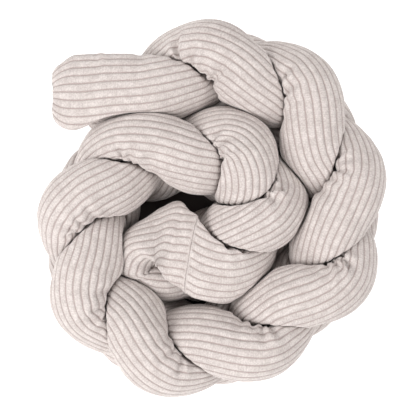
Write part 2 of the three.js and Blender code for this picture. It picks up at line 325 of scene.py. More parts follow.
@dataclass
class TubeLine:
    """Middle line of a tube at even steps, with a direction carried along it from which its angles count."""

    points: Array
    spine: Array
    seam: float | None = None  # length at which the tube has its cross seam
    fold: float | None = None  # length at which it turns back on itself
    fold_middle: Array | None = None  # point about which it turns back
    step: float = 4.0
    smoothing_rounds: int = 6
    stations: Stations = field(init=False)
    lengths: Array = field(init=False)

    def __post_init__(self) -> None:
        """Spaces the points evenly, smooths them and carries the zero direction along."""
        self.lengths = summed(np.linalg.norm(np.diff(self.points, axis=0), axis=1))
        at = np.linspace(0.0, self.lengths[-1], round(self.lengths[-1] / self.step) + 1)
        middle = columns_at(at, self.lengths, self.points)
        for _ in range(self.smoothing_rounds):
            middle[1:-1] = (middle[:-2] + 2.0 * middle[1:-1] + middle[2:]) / 4.0
        along = unit(np.gradient(middle, axis=0))
        zero = np.empty_like(along)
        carried = UP
        for row, direction in enumerate(along):
            carried = unit(flattened(carried, direction))
            zero[row] = carried
        self.stations = Stations(self, at, middle, columns_at(at, self.lengths, self.spine), along, zero)

    @property
    def length(self) -> float:
        """Whole length of the line."""
        return float(self.lengths[-1])

    def to_end(self, at: Array) -> Array:
        """Distance from each place to the nearer sewn end."""
        return np.minimum(at, self.length - at)

    def stations_at(self, at: Array) -> Stations:
        """Stations at any places, read off between the even ones.

        Args:
            at: lengths along the tube.

        Returns:
            Stations with unit directions that are square to each other.
        """
        own = self.stations
        kinds = (own.middle, own.spine, own.along, own.zero)
        middle, spine, along, zero = (columns_at(at, own.at, kind) for kind in kinds)
        along = unit(along)
        return Stations(self, at, middle, spine, along, unit(flattened(zero, along)))


@dataclass(frozen=True)
class Lay:
    """Where the tubes start, fold, are sewn together and end, as crest numbers."""

    top_outer_end: float = 0.12
    low_outer_end: float = 0.42
    single_outer_end: float = 0.42
    single_inner_end: float = 13.7
    seam: float = 13.2
    fold: float = 13.66
    fold_leave: float = 1.2  # reach of the fold from its high leg, in distances between the legs
    fold_arrive: float = 1.85  # the same to its low leg
    strand_points: int = 3000
    fold_points: int = 58
    direction_points: int = 5  # points over which a leg's direction is taken

    def lines(self, path: PlaitPath) -> tuple[TubeLine, TubeLine]:
        """Middle lines of both tubes. The long one follows the top strand inwards, turns back in a cubic, and
        follows the low strand outwards.

        Args:
            path: the plait.

        Returns:
            The long tube's line and the single tube's line.
        """
        top = self.run(path, Strand.TOP, self.top_outer_end, self.fold)
        low = self.run(path, Strand.LOW, self.fold, self.low_outer_end)
        start, end = top[0][-1], low[0][0]
        span = np.linalg.norm(end - start)
        leave = unit(start - top[0][-1 - self.direction_points]) * span * self.fold_leave
        arrive = unit(low[0][self.direction_points] - end) * span * self.fold_arrive
        share = (np.arange(1, self.fold_points + 1) / (self.fold_points + 1))[:, None]
        fold = cubic(start, end, leave, arrive, share)
        fold_spine = top[1][-1] + (low[1][0] - top[1][-1]) * ramp(share, 0.0, 1.0)
        long_line = TubeLine(np.vstack([top[0], fold, low[0]]), np.vstack([top[1], fold_spine, low[1]]))
        seam_share = (self.seam - self.top_outer_end) / (self.fold - self.top_outer_end)
        long_line.seam = float(long_line.lengths[round(seam_share * (self.strand_points - 1))])
        long_line.fold = float(long_line.lengths[self.strand_points + self.fold_points // 2])
        long_line.fold_middle = (start + end) / 2.0
        single = self.run(path, Strand.SINGLE, self.single_outer_end, self.single_inner_end)
        return long_line, TubeLine(*single)

    def run(self, path: PlaitPath, strand: Strand, start: float, stop: float) -> tuple[Array, Array]:
        """Points of one strand between two crest numbers, with the plait's middle line beside them."""
        return path.strand(strand, np.linspace(start, stop, self.strand_points))


@dataclass(frozen=True)
class FilledForm:
    """How a filled tube of cloth takes its section from its filling, its neighbours and its bends."""

    cloth_girth: float = 240.0
    full_radius: float = 45.5  # largest radius of a free section
    least_radius: float = 25.0
    end_radius: float = 58.0  # largest half width where a tube lies flat
    flattening: float = 0.2  # share by which a strand is flattened towards the plait's middle line
    flattened_from: float = 40.0  # distance from that line at which it is flattened in full
    end_flattening: float = 0.64  # the same share where a tube lies flat
    end_round: float = 34.0  # length over which the filling runs out at a sewn end
    end_thinnest: float = 0.045  # share of the thickness left at the sewn edge
    # Shares of its half width that a sewn end loses at its two corners, and how sharply each sets in.
    end_corners: Pair = (0.45, 0.36)
    end_corner_powers: Pair = (1.5, 3.0)
    flat_end_from: float = 20.0  # distances from a sewn end between which the tube fills out
    flat_end_to: float = 190.0
    flat_seam_before: float = 110.0  # distance before the seam at which the tube starts to lie flat
    flat_seam_after: float = 30.0  # distances after it between which the tube fills out
    flat_seam_filled: float = 105.0
    seam_skew: float = -0.4  # lean of the seam along the tube for each millimetre to its side
    seam_skew_reach: float = 110.0
    fold_bend: float = 10.0  # distances from the fold between which the tube leaves the plane of its bend
    fold_reach: float = 70.0
    fold_calm: float = 0.7  # share of the cloth's folds that the filling takes out at the fold
    fold_calm_reach: float = 150.0
    clearance: float = 0.6  # gap between strands that touch
    contact_reach: float = 170.0  # distance within which another strand counts
    own_nearest: float = 24.0  # lengths between which a tube's own bend counts
    own_reach: float = 60.0
    contact_sharpness: float = 28.0
    fill_rounds: int = 12
    fill_rate: float = 0.7

    def flatness(self, stations: Stations) -> Array:
        """How flat a tube lies, from 0 to 1: flat at sewn ends and round the cross seam.

        Args:
            stations: places along it.

        Returns:
            The flatness at each place.
        """
        at, seam = stations.at, stations.line.seam
        end = 1.0 - ramp(stations.line.to_end(at), self.flat_end_from, self.flat_end_to)
        if seam is None:
            return end
        filling = 1.0 - ramp(at, seam + self.flat_seam_after, seam + self.flat_seam_filled)
        return np.maximum(end, ramp(at, seam - self.flat_seam_before, seam) * filling)

    def near(self, place: float | None, at: Array, start: float, stop: float) -> Array:
        """Nearness to a seam or fold: 1 within one distance of it, 0 beyond another or if there is none."""
        return np.zeros_like(at) if place is None else 1.0 - ramp(np.abs(at - place), start, stop)

    def rays(self, stations: Stations, angles: Array) -> tuple[Array, Array]:
        """Directions from the middle of each section: cos(angle) of the zero one plus sin(angle) of the
        quarter one. A ray is a direction that leans along the tube by the seam's skew times its level part.

        Args:
            stations: places along a tube.
            angles: angles round each section.

        Returns:
            The directions and the rays.
        """
        across = np.cos(angles)[..., None] * stations.zero[:, None]
        across = across + np.sin(angles)[..., None] * stations.quarter[:, None]
        level = unit(np.cross(UP, stations.along))
        skew = self.seam_skew * self.near(stations.line.seam, stations.at, 0.0, self.seam_skew_reach)
        lean = skew[:, None] * np.sum(across * level[:, None], axis=-1)
        return across, across + lean[..., None] * stations.along[:, None]

    def limits(self, stations: Stations, lines: tuple[TubeLine, ...], across: Array, ray: Array) -> Array:
        """How far each ray may reach: half way to every strand beside it, and within the tube's own bend.

        The plane half way to a point at offset o from the middle is met at o.o / 2 / (o . ray).

        Args:
            stations: places along a tube.
            lines: all tubes.
            across: directions square to the tube.
            ray: rays of its sections.

        Returns:
            The largest radius for each ray.
        """
        limits = np.full(ray.shape[:2], np.inf)
        for other in lines:
            for row in range(len(stations.at)):
                offset = other.stations.middle - stations.middle[row]
                distance = np.linalg.norm(offset, axis=1)
                apart = np.full(len(offset), np.inf)
                if other is stations.line:
                    apart = np.abs(other.stations.at - stations.at[row])
                counted = (distance < self.contact_reach) & (apart >= self.own_nearest)
                if not counted.any():
                    continue
                offset, distance, own = offset[counted], distance[counted], apart[counted] < self.own_reach
                half = np.where(own, distance, distance - self.clearance) * distance / 2.0
                towards = np.where(own[:, None], offset @ across[row].T, offset @ ray[row].T)
                met = np.where(towards > SMALLEST, half[:, None] / np.maximum(towards, SMALLEST), np.inf)
                limits[row] = np.minimum(limits[row], met.min(axis=0))
        return limits

    def ellipse(self, stations: Stations, across: Array) -> tuple[Array, Array]:
        """Radius of a flattened section of radius 1, and the direction in which it is pressed.

        Args:
            stations: places along a tube.
            across: directions square to it.

        Returns:
            Radii of the ellipse, and the pressed direction of each section.
        """
        line = stations.line
        flat = self.flatness(stations)[:, None]
        press = flattened(stations.middle - stations.spine, stations.along)
        away = np.linalg.norm(press, axis=1, keepdims=True)
        pressed = self.flattening * ramp(away, 0.0, self.flattened_from)
        press = unit(press)
        press = unit(flattened(press + (UP - press) * flat, stations.along))
        if line.fold is not None:
            out = unit(flattened(stations.middle - line.fold_middle, stations.along))
            out = np.where(np.sum(out * press, axis=1, keepdims=True) < 0.0, -out, out)
            near = self.near(line.fold, stations.at, self.fold_bend, self.fold_reach)[:, None]
            press = unit(press + (out - press) * near)
        thin = 1.0 - (pressed + (self.end_flattening - pressed) * flat)
        towards = np.sum(across * press[:, None], axis=-1)
        return 1.0 / np.sqrt((towards / thin) ** 2 + 1.0 - towards**2), press

    def radii(self, flat: Array, form: Array, limits: Array, ray: Array) -> Array:
        """Radii of filled sections: an ellipse that gives way softly to its limits and grows until the cloth
        is used up. The soft minimum of two radii is (a^-n + b^-n)^(-1/n).

        Args:
            flat: how flat each section lies.
            form: radii of the ellipse.
            limits: the largest radii.
            ray: rays of the sections.

        Returns:
            The radius along each ray.
        """
        most = self.full_radius + (self.end_radius - self.full_radius) * flat
        least = np.minimum(self.least_radius, most)
        held = limits**-self.contact_sharpness
        size = np.full(len(flat), self.full_radius)
        reach = form
        for _ in range(self.fill_rounds):
            filled = (size[:, None] * form) ** -self.contact_sharpness
            reach = (filled + held) ** (-1.0 / self.contact_sharpness)
            ring = ray * reach[..., None]
            girth = np.linalg.norm(ring - np.roll(ring, -1, axis=1), axis=-1).sum(axis=1)
            size = np.clip(size * (self.cloth_girth / girth) ** self.fill_rate, least, most)
        return reach

    def closed_ends(self, stations: Stations, press: Array, offset: Array) -> Array:
        """Sections that close at the sewn ends: their thickness follows a quarter circle down to the sewn
        edge, and their width a rounded corner, so the wales run straight to that edge.

        Args:
            stations: places along a tube.
            press: direction of each section's thickness.
            offset: points of the sections, from their middles.

        Returns:
            The points of the closed sections.
        """
        left = 1.0 - np.minimum(stations.line.to_end(stations.at) / self.end_round, 1.0)
        thinned = 1.0 - np.maximum(np.sqrt(1.0 - left**2), self.end_thinnest)
        cut = [share * left**power for share, power in zip(self.end_corners, self.end_corner_powers)]
        level = np.cross(stations.along, press)
        out = np.sum(offset * press[:, None], axis=-1)
        wide = np.sum(offset * level[:, None], axis=-1)
        drawn = wide * np.where(wide < 0.0, cut[0][:, None], cut[1][:, None])
        thin = offset - (out * thinned[:, None])[..., None] * press[:, None]
        return thin - drawn[..., None] * level[:, None]


@dataclass(frozen=True)
class Wales:
    """Ribs of the corduroy, of even width round the tube, with a narrow groove between each two."""

    count: int = 21
    depth: float = 2.0
    # Columns: share of a wale from groove to groove, share of the groove's depth there.
    profile: tuple[Pair, ...] = ((0.0, 1.0), (0.11, 0.4), (0.29, 0.1), (0.5, 0.0), (0.71, 0.1), (0.89, 0.4))
    waver: Waves = ((0.05, 310.0, 1.0, 0.4), (0.025, 97.0, 2.0, 2.1))  # heights in wales

    def shares(self) -> Array:
        """Places round the tube, in wales, of every point of the profile."""
        return (np.arange(self.count)[:, None] + np.array(self.profile)[:, 0]).ravel()

    def grooves(self) -> Array:
        """Depth below the crown of every point of the profile."""
        return np.tile(np.array(self.profile)[:, 1] * self.depth, self.count)

    def waves(self, at: Array, wale: Array, table: Waves) -> Array:
        """Slow waves on the grid of lengths and wales."""
        return slow_waves(at[:, None], wale[None] * TURN / self.count, table)


def outward_normals(points: Array) -> Array:
    """Normals of a tube's skin: the cross product of the steps round it and along it."""
    round_step = np.roll(points, -1, axis=1) - np.roll(points, 1, axis=1)
    return unit(np.cross(round_step, np.gradient(points, axis=0)))


def finer(values: Array, rows: Array, columns: Array) -> Array:
    """Values of a coarse grid between its points, by a cubic through four of them each way.

    Args:
        values: the grid, open along its first axis and closed along its second.
        rows: places along the first axis.
        columns: places along the second.

    Returns:
        The finer grid.
    """

    def along(grid: Array, places: Array, closed: bool) -> Array:
        """Reads off the first axis of a grid.

        Args:
            grid: the grid.
            places: places along that axis.
            closed: whether it runs round.

        Returns:
            The grid at the places.
        """
        first = np.floor(places).astype(int)
        index = first + np.arange(-1, 3)[:, None]
        index = index % len(grid) if closed else np.clip(index, 0, len(grid) - 1)
        before, start, end, after = grid[index]
        return cubic(start, end, (end - before) / 2.0, (after - start) / 2.0, (places - first)[:, None, None])

    tall = along(values, rows, closed=False)
    return along(tall.swapaxes(0, 1), columns, closed=True).swapaxes(0, 1)


@dataclass
class FilledSkin:
    """Skin of a filled tube on a grid, with what it needs to be kept off its neighbours."""

    at: Array
    middle: Array
    ray: Array
    limits: Array
    points: Array

    def kept_off(self, points: Array) -> Array:
        """Points drawn back along their rays to the plane half way to the next strand.

        Args:
            points: points on the skin's grid.

        Returns:
            The points within their limits.
        """
        offset = points - self.middle[:, None]
        reach = np.sum(offset * self.ray, axis=-1) / np.sum(self.ray**2, axis=-1)
        over = np.maximum(reach - self.limits, 0.0)
        return points - self.ray * over[..., None]


@dataclass(frozen=True)
class ClothPass:
    """Cloth simulation on a filled tube. The cloth is a net of threads that was cut and sewn straight, so on
    the inner side of each bend its lengthwise threads are too long for their place and buckle into folds."""

    grid: float = 4.0  # step of the net along the tube
    net_per_wale: int = 2  # its threads round the tube for each wale
    rounds: int = 320
    rate: float = 0.45  # share of each thread's error that a round takes out
    taut: float = 0.6  # share of the lengthwise threads of a section that are no longer than the cloth
    least_spare: float = 0.97  # shortest that a thread may be, as a multiple of its place
    most_spare: float = 1.55  # longest that it may be
    shear: float = 0.1  # stiffness of the slanting threads
    slants: tuple[int, int] = (1, -1)  # steps that they take round the tube
    bending: float = 0.025  # stiffness against bends along the tube
    round_bending: float = 0.03  # the same round it
    hold: float = 0.005  # share by which each round draws a point back to the filled form
    start_noise: float = 0.8
    noise_rounds: int = 2
    seed: int = 11
    end_held: float = 75.0  # distance from a sewn edge over which the cloth comes free
    cap: float = 9.0  # largest move

    def settle(self, skin: FilledSkin) -> Array:
        """Lets the net settle and gives how far each point moved, by no more than the cap.

        Each round moves the ends of every thread together or apart by its error, evens out bends, draws the
        points back a little to the form, and keeps them off the neighbours and the floor.

        Args:
            skin: the filled form.

        Returns:
            Moves on the grid of the form.
        """

        def slanting(net: Array, turn: int) -> Array:
            """Steps from each point to the next section's point beside it."""
            return np.roll(net, -turn, axis=1)[1:] - net[:-1]

        base = skin.points
        noise = np.random.default_rng(self.seed).normal(size=base.shape[:2])
        for axis in (0, 1) * self.noise_rounds:
            noise = (np.roll(noise, 1, axis=axis) + 2.0 * noise + np.roll(noise, -1, axis=axis)) / 4.0
        noise *= self.start_noise / noise.std()
        points = base + outward_normals(base) * noise[..., None]
        gaps = np.linalg.norm(np.diff(base, axis=0), axis=-1)
        natural = np.quantile(gaps, self.taut, axis=1, keepdims=True)
        along_rest = np.clip(natural, gaps * self.least_spare, gaps * self.most_spare)
        round_rest = np.linalg.norm(np.roll(base, -1, axis=1) - base, axis=-1)
        slant_rest = [np.linalg.norm(slanting(base, turn), axis=-1) for turn in self.slants]
        to_edge = np.minimum(skin.at - skin.at[0], skin.at[-1] - skin.at)
        free = ramp(to_edge, 0.0, self.end_held)[:, None, None]
        for _ in range(self.rounds):
            move = np.zeros_like(points)
            pull = thread_pull(np.diff(points, axis=0), along_rest)
            move[:-1] += pull
            move[1:] -= pull
            pull = thread_pull(np.roll(points, -1, axis=1) - points, round_rest)
            move += pull - np.roll(pull, 1, axis=1)
            for turn, rest in zip(self.slants, slant_rest):
                pull = self.shear * thread_pull(slanting(points, turn), rest)
                move[:-1] += pull
                move[1:] -= np.roll(pull, turn, axis=1)
            shift = points - base
            bow = np.zeros_like(shift)
            bow[1:-1] = shift[:-2] - 2.0 * shift[1:-1] + shift[2:]
            move[1:-1] -= self.bending * (bow[:-2] - 2.0 * bow[1:-1] + bow[2:])
            bow = np.roll(shift, 1, axis=1) - 2.0 * shift + np.roll(shift, -1, axis=1)
            move += self.round_bending * bow
            points = points + free * (self.rate * move - self.hold * shift)
            points = skin.kept_off(points)
            points[..., 2] = np.maximum(points[..., 2], 0.0)
        moved = points - base
        length = np.linalg.norm(moved, axis=-1, keepdims=True)
        LOG.info("cloth: moved %.2f mm on average, %.2f at most", length.mean(), length.max())
        return moved * self.cap / np.maximum(length, SMALLEST) * np.tanh(length / self.cap)


def thread_pull(steps: Array, rest: Array) -> Array:
    """How far a thread's first end moves towards its second: half of what the thread is too long by."""
    length = np.maximum(np.linalg.norm(steps, axis=-1), SMALLEST)
    return steps * (0.5 - 0.5 * rest / length)[..., None]


@dataclass(frozen=True)
class Crease:
    """One crease that shows, across a tube: a groove beside which the cloth swells and laps over."""

    at: float  # length along the tube
    wale: float  # wale at which it is deepest
    reach: float  # wales to either side over which it runs out
    width: float  # less than nought if the side before the crease swells
    depth: float
    slant: float = 0.0  # millimetres along the tube for each wale
    swell: float = 0.7  # height of the swollen side, as a share of the depth
    swell_at: float = 1.5  # its distance from the crease, in widths

    def heights(self, at: Array, wale: Array, wales: int) -> Array:
        """Minus a bell across the crease plus a bell beside it, both faded along the crease.

        Args:
            at: lengths along the tube, as a column.
            wale: places round it in wales.
            wales: number of wales.

        Returns:
            Heights to add to the radius.
        """
        round_by = (wale - self.wale + wales / 2.0) % wales - wales / 2.0
        across = (at - self.at - self.slant * round_by) / self.width
        fade = 1.0 - ramp(np.abs(round_by), 0.0, self.reach)
        side = np.exp(-((across - self.swell_at) ** 2))
        return self.depth * fade * (self.swell * side - np.exp(-(across**2)))


@dataclass(frozen=True)
class CorduroyFinish:
    """Velvet corduroy: a short pale pile on the wales and a darker colour in the grooves between them, partly
    the bare ground's tone and partly painted shade in the grooves.
    """

    name: str = "greige_corduroy"
    group_name: str = "corduroy_pile"
    pile: Colour = (0.632, 0.577, 0.551, 1.0)
    pile_shade: Colour = (0.41, 0.356, 0.338, 1.0)
    # Colour in the grooves: partly the bare ground's own tone, partly painted shade in the recess between the
    # wales.
    groove_ground_and_shade: Colour = (0.365, 0.303, 0.285, 1.0)
    groove_share: float = 0.13  # half width of a groove, in wales
    groove_edge: Pair = (0.2, 1.3)  # start and end of its soft edge, in half widths
    fraying: float = 0.09  # how far that edge strays, in wales
    # Scale and detail of each noise, and the values of it between which it steps from 0 to 1.
    fray_noise: Pair = (900.0, 1.0)
    fray_step: Pair = (0.3, 0.7)
    blotch_noise: Pair = (85.0, 3.0)
    blotch_step: Pair = (0.32, 0.7)
    fibre_noise: Pair = (470.0, 2.0)
    fibre_step: Pair = (0.34, 0.66)
    swirl_noise: Pair = (320.0, 1.0)
    swirl: float = 3.0  # how far the rows of tufts swirl
    tufts_per_wale: float = 4.6  # rows of tufts in a wale's width of length
    # Shares of the pile's tone and of its height.
    blotch_tone: float = 0.34
    fibre_tone: float = 0.5
    tuft_tone: float = 0.16
    fibre_height: float = 0.6
    tuft_height: float = 0.35
    roughness: float = 0.92
    specular: float = 0.2
    sheen: float = 0.35
    sheen_roughness: float = 0.45
    sheen_tint: Colour = (1.0, 0.97, 0.95, 1.0)
    bump_strength: float = 0.8
    bump_distance: float = 0.0006

    def group(self) -> bpy.types.NodeTree:
        """Node group with the pile's colour and height, from the wale map and the place on the object.

        Returns:
            The group, with a wale map, a place and a share of sewn cloth as inputs.
        """
        tree = bpy.data.node_groups.new(self.group_name, "ShaderNodeTree")
        for name, way, kind in (
            ("Wale map", "INPUT", "NodeSocketVector"),
            ("Place", "INPUT", "NodeSocketVector"),
            ("Sewn", "INPUT", "NodeSocketFloat"),
            ("Color", "OUTPUT", "NodeSocketColor"),
            ("Height", "OUTPUT", "NodeSocketFloat"),
        ):
            tree.interface.new_socket(name, in_out=way, socket_type=kind)
        given = add_node(tree, "NodeGroupInput").outputs

        def calc(operation: str, *values: float | Socket) -> Socket:
            """The result of a Math node."""
            return add_node(tree, "ShaderNodeMath", dict(enumerate(values)), operation=operation).outputs[0]

        def noise(scale: float, detail: float) -> Socket:
            """A noise from 0 to 1 on the object."""
            values = {"Vector": given["Place"], "Scale": scale, "Detail": detail}
            return add_node(tree, "ShaderNodeTexNoise", values).outputs["Fac"]

        def stepped(value: Socket, low: float, high: float) -> Socket:
            """A smooth step from 0 at low to 1 at high."""
            values = {"Value": value, "From Min": low, "From Max": high}
            return add_node(tree, "ShaderNodeMapRange", values, interpolation_type="SMOOTHSTEP").outputs[0]

        along, wale, _ = add_node(tree, "ShaderNodeSeparateXYZ", {0: given["Wale map"]}).outputs
        off_centre = calc("ABSOLUTE", calc("SUBTRACT", calc("FRACT", wale), 0.5))
        frayed = calc("SUBTRACT", stepped(noise(*self.fray_noise), *self.fray_step), 0.5)
        from_groove = calc("MULTIPLY_ADD", frayed, self.fraying, calc("SUBTRACT", 0.5, off_centre))
        on_wale = stepped(from_groove, *(self.groove_share * edge for edge in self.groove_edge))
        on_wale = calc("MAXIMUM", on_wale, given["Sewn"])
        blotch = stepped(noise(*self.blotch_noise), *self.blotch_step)
        fibres = stepped(noise(*self.fibre_noise), *self.fibre_step)
        rows = calc("MULTIPLY", along, TURN * self.tufts_per_wale)
        ripple = calc("MULTIPLY_ADD", noise(*self.swirl_noise), self.swirl, rows)
        tufts = calc("MULTIPLY_ADD", calc("SINE", ripple), 0.5, 0.5)
        nap = calc("MULTIPLY_ADD", blotch, self.blotch_tone, calc("MULTIPLY", fibres, self.fibre_tone))
        nap = calc("MULTIPLY_ADD", tufts, self.tuft_tone, nap)
        # The groove colour, partly painted shade, goes into the grooves by on_wale and fades out where the
        # cloth is sewn.
        colour = mixed(tree, on_wale, self.groove_ground_and_shade, mixed(tree, nap, self.pile_shade, self.pile))
        height = calc("MULTIPLY_ADD", fibres, self.fibre_height, calc("MULTIPLY", tufts, self.tuft_height))
        add_node(tree, "NodeGroupOutput", {"Color": colour, "Height": calc("MULTIPLY", height, on_wale)})
        return tree

    def material(self) -> bpy.types.Material:
        """Material of the corduroy: a rough cloth with a pale sheen, its colour and bump from the group.

        Returns:
            The material.
        """
        made = bpy.data.materials.new(self.name)
        made.use_nodes = True
        tree = made.node_tree
        given = {
            "Wale map": add_node(tree, "ShaderNodeUVMap", uv_map=WALE_MAP).outputs["UV"],
            "Place": add_node(tree, "ShaderNodeTexCoord").outputs["Object"],
            "Sewn": add_node(tree, "ShaderNodeAttribute", attribute_name=SEWN_SHARE).outputs["Fac"],
        }
        pile = add_node(tree, "ShaderNodeGroup", given, node_tree=self.group()).outputs
        raised = {
            "Strength": self.bump_strength,
            "Distance": self.bump_distance,
            "Height": pile["Height"],
        }
        look = {
            "Base Color": pile["Color"],
            "Roughness": self.roughness,
            "Specular IOR Level": self.specular,
            "Sheen Weight": self.sheen,
            "Sheen Roughness": self.sheen_roughness,
            "Sheen Tint": self.sheen_tint,
            "Normal": add_node(tree, "ShaderNodeBump", raised).outputs["Normal"],
        }
        set_inputs(tree, tree.nodes["Principled BSDF"], look)
        return made


@dataclass
class CorduroyTube:
    """One sewn and filled tube of corduroy, as its own piece of the plait."""

    name: str
    node: str
    line: TubeLine
    lines: tuple[TubeLine, ...]
    start: float  # lengths along the line between which the piece runs
    stop: float
    start_sewn_on: bool = False  # whether the cross seam is there
    stop_sewn_on: bool = False
    creases: tuple[Crease, ...] = ()
    wale_shift: float = 0.0
    # Columns: length along the tube, wales of drift round it for each drift length there.
    drift: tuple[Pair, ...] = ()
    drift_length: float = 100.0
    climb_drift: float = 5.0  # drift added where the tube climbs straight up
    fill: float = 0.8
    form: FilledForm = FilledForm()
    wales: Wales = Wales()
    cloth: ClothPass = ClothPass()
    angle_count: int = 132
    place_count: int = 4000  # fine steps from which the places of the sections are read
    section_step: float = 3.0
    end_step: float = 1.2
    piece_gap: float = 0.12  # between the two pieces at the cross seam
    seam_dip: float = 0.3
    seam_reach: float = 1.6
    seam_swell: float = 1.2
    seam_swell_at: float = 2.2  # distance from the seam at which the cloth swells
    seam_smooth: float = 5.0  # distance from the seam within which the grooves fade out
    lumps: Waves = ((0.8, 137.0, 1.0, 0.9), (0.5, 83.0, 2.0, 2.7), (0.3, 57.0, 3.0, 5.1))

    def places(self) -> Array:
        """Lengths at which the tube has sections: even, and closer towards its ends.

        Returns:
            The lengths.
        """
        fine = np.linspace(self.start, self.stop, self.place_count)
        to_edge = np.minimum(fine - self.start, self.stop - fine)
        step = self.end_step + (self.section_step - self.end_step) * ramp(to_edge, 0.0, self.form.end_round)
        weight = summed(np.diff(fine) / step[1:])
        return np.interp(np.linspace(0.0, weight[-1], math.ceil(weight[-1])), weight, fine)

    def drifted(self, at: Array) -> Array:
        """Wales by which the cloth has turned round the tube: the sum of the drift up to each length.

        Args:
            at: the lengths.

        Returns:
            The wales.
        """
        fine = np.arange(0.0, self.line.length + 1.0)
        climb = np.interp(fine, self.line.stations.at, self.line.stations.along[:, 2])
        rate = np.interp(fine, *np.array(self.drift).T) + self.climb_drift * climb
        return np.interp(at, fine, np.cumsum(rate) / self.drift_length)

    def even_turns(self, ring: Array, angles: Array, shares: Array) -> Array:
        """Angles at which places lie that are even in cloth round each section.

        The girth up to each angle gives the cloth's place there. The places are counted so that on average
        they keep to the angles, and then read the other way round.

        Args:
            ring: points of the sections at even angles.
            angles: those angles.
            shares: wanted places, as shares of the girth, for each section.

        Returns:
            The angle for each section and place.
        """
        gaps = np.linalg.norm(np.roll(ring, -1, axis=1) - ring, axis=-1)
        girth = np.concatenate([np.zeros((len(ring), 1)), np.cumsum(gaps, axis=1)], axis=1)
        girth /= girth[:, -1:]
        drift = np.mean(girth[:, :-1] - angles / TURN, axis=1)
        known = np.concatenate([girth[:, :-1] - 1.0, girth[:, :-1], girth + 1.0], axis=1)
        turns = np.concatenate([angles - TURN, angles, angles + TURN, [2.0 * TURN]])
        return rows_at((shares + drift[:, None]) % 1.0, known, turns, apart=4.0)

    def filled(self, at: Array, wale: Array) -> FilledSkin:
        """Smooth skin of the filled tube, with its places even in cloth round each section.

        Args:
            at: lengths of the sections.
            wale: places round them, in wales.

        Returns:
            The skin.
        """
        form, wales = self.form, self.wales
        stations = self.line.stations_at(at)
        angles = np.arange(self.angle_count) * TURN / self.angle_count
        across, ray = form.rays(stations, angles[None])
        limits = form.limits(stations, self.lines, across, ray)
        shape, _ = form.ellipse(stations, across)
        radius = form.radii(form.flatness(stations), shape, limits, ray)
        ring = stations.middle[:, None] + ray * radius[..., None]
        drifted = self.drifted(at)[:, None] + self.wale_shift
        shares = (wale[None] + wales.waves(at, wale, wales.waver) + drifted) / wales.count
        turns = self.even_turns(ring, angles, shares)

        def read(values: Array) -> Array:
            """Values at even angles, read off at the turns."""
            closed = np.concatenate([values, values[:, :1]], axis=1)
            return rows_at(turns % TURN, np.append(angles, TURN)[None], closed, apart=2.0 * TURN)

        across, ray = form.rays(stations, turns)
        _, press = form.ellipse(stations, across)
        offset = form.closed_ends(stations, press, ray * read(radius)[..., None])
        limits = read(np.minimum(limits, form.contact_reach))
        return FilledSkin(at, stations.middle, ray, limits, stations.middle[:, None] + offset)

    def skin(self) -> tuple[Array, Array, Array]:
        """Points of the tube's skin: the filled form, moved as the cloth pass moved it, with creases, lumps
        and wales along its normals, kept off the neighbours and flat on the floor.

        Returns:
            Points by section and place round it, the lengths of the sections, and the places in wales.
        """
        wales, cloth, form = self.wales, self.cloth, self.form
        at, wale = self.places(), wales.shares()
        fine = self.filled(at, wale)
        points = fine.points
        rough_at = np.linspace(self.start, self.stop, round((self.stop - self.start) / cloth.grid))
        rough = self.filled(rough_at, np.arange(cloth.net_per_wale * wales.count) / cloth.net_per_wale)
        calm = form.fold_calm * form.near(self.line.fold, rough_at, form.fold_reach, form.fold_calm_reach)
        moved = cloth.settle(rough) * (1.0 - calm)[:, None, None]
        rows = np.interp(at, rough_at, np.arange(len(rough_at)))
        points = points + finer(moved, rows, wale * cloth.net_per_wale)
        height = wales.waves(at, wale, self.lumps)
        for crease in self.creases:
            height = height + crease.heights(at[:, None], wale[None], wales.count)
        points = fine.kept_off(points + outward_normals(points) * height[..., None])
        sewn, grooved = self.sewn_edge(at)
        depth = wales.grooves()[None] * grooved[:, None] + sewn[:, None]
        points = points - outward_normals(points) * depth[..., None]
        points[..., 2] = np.maximum(points[..., 2], 0.0)
        return points, at, wale

    def sewn_edge(self, at: Array) -> tuple[Array, Array]:
        """How far the skin dips towards a cross seam, and how much of the grooves is left there.

        Args:
            at: lengths of the sections.

        Returns:
            The dip, and the share of the groove's depth.
        """
        dip, grooved = np.zeros_like(at), np.ones_like(at)
        for sewn, edge in ((self.start_sewn_on, self.start), (self.stop_sewn_on, self.stop)):
            if sewn:
                off = np.abs(at - edge)
                dip += self.seam_dip * (1.0 - ramp(off, 0.0, self.seam_reach))
                dip -= self.seam_swell * np.exp(-(((off - self.seam_swell_at) / self.seam_reach) ** 2))
                grooved *= ramp(off, 0.0, self.seam_smooth)
        return dip, grooved

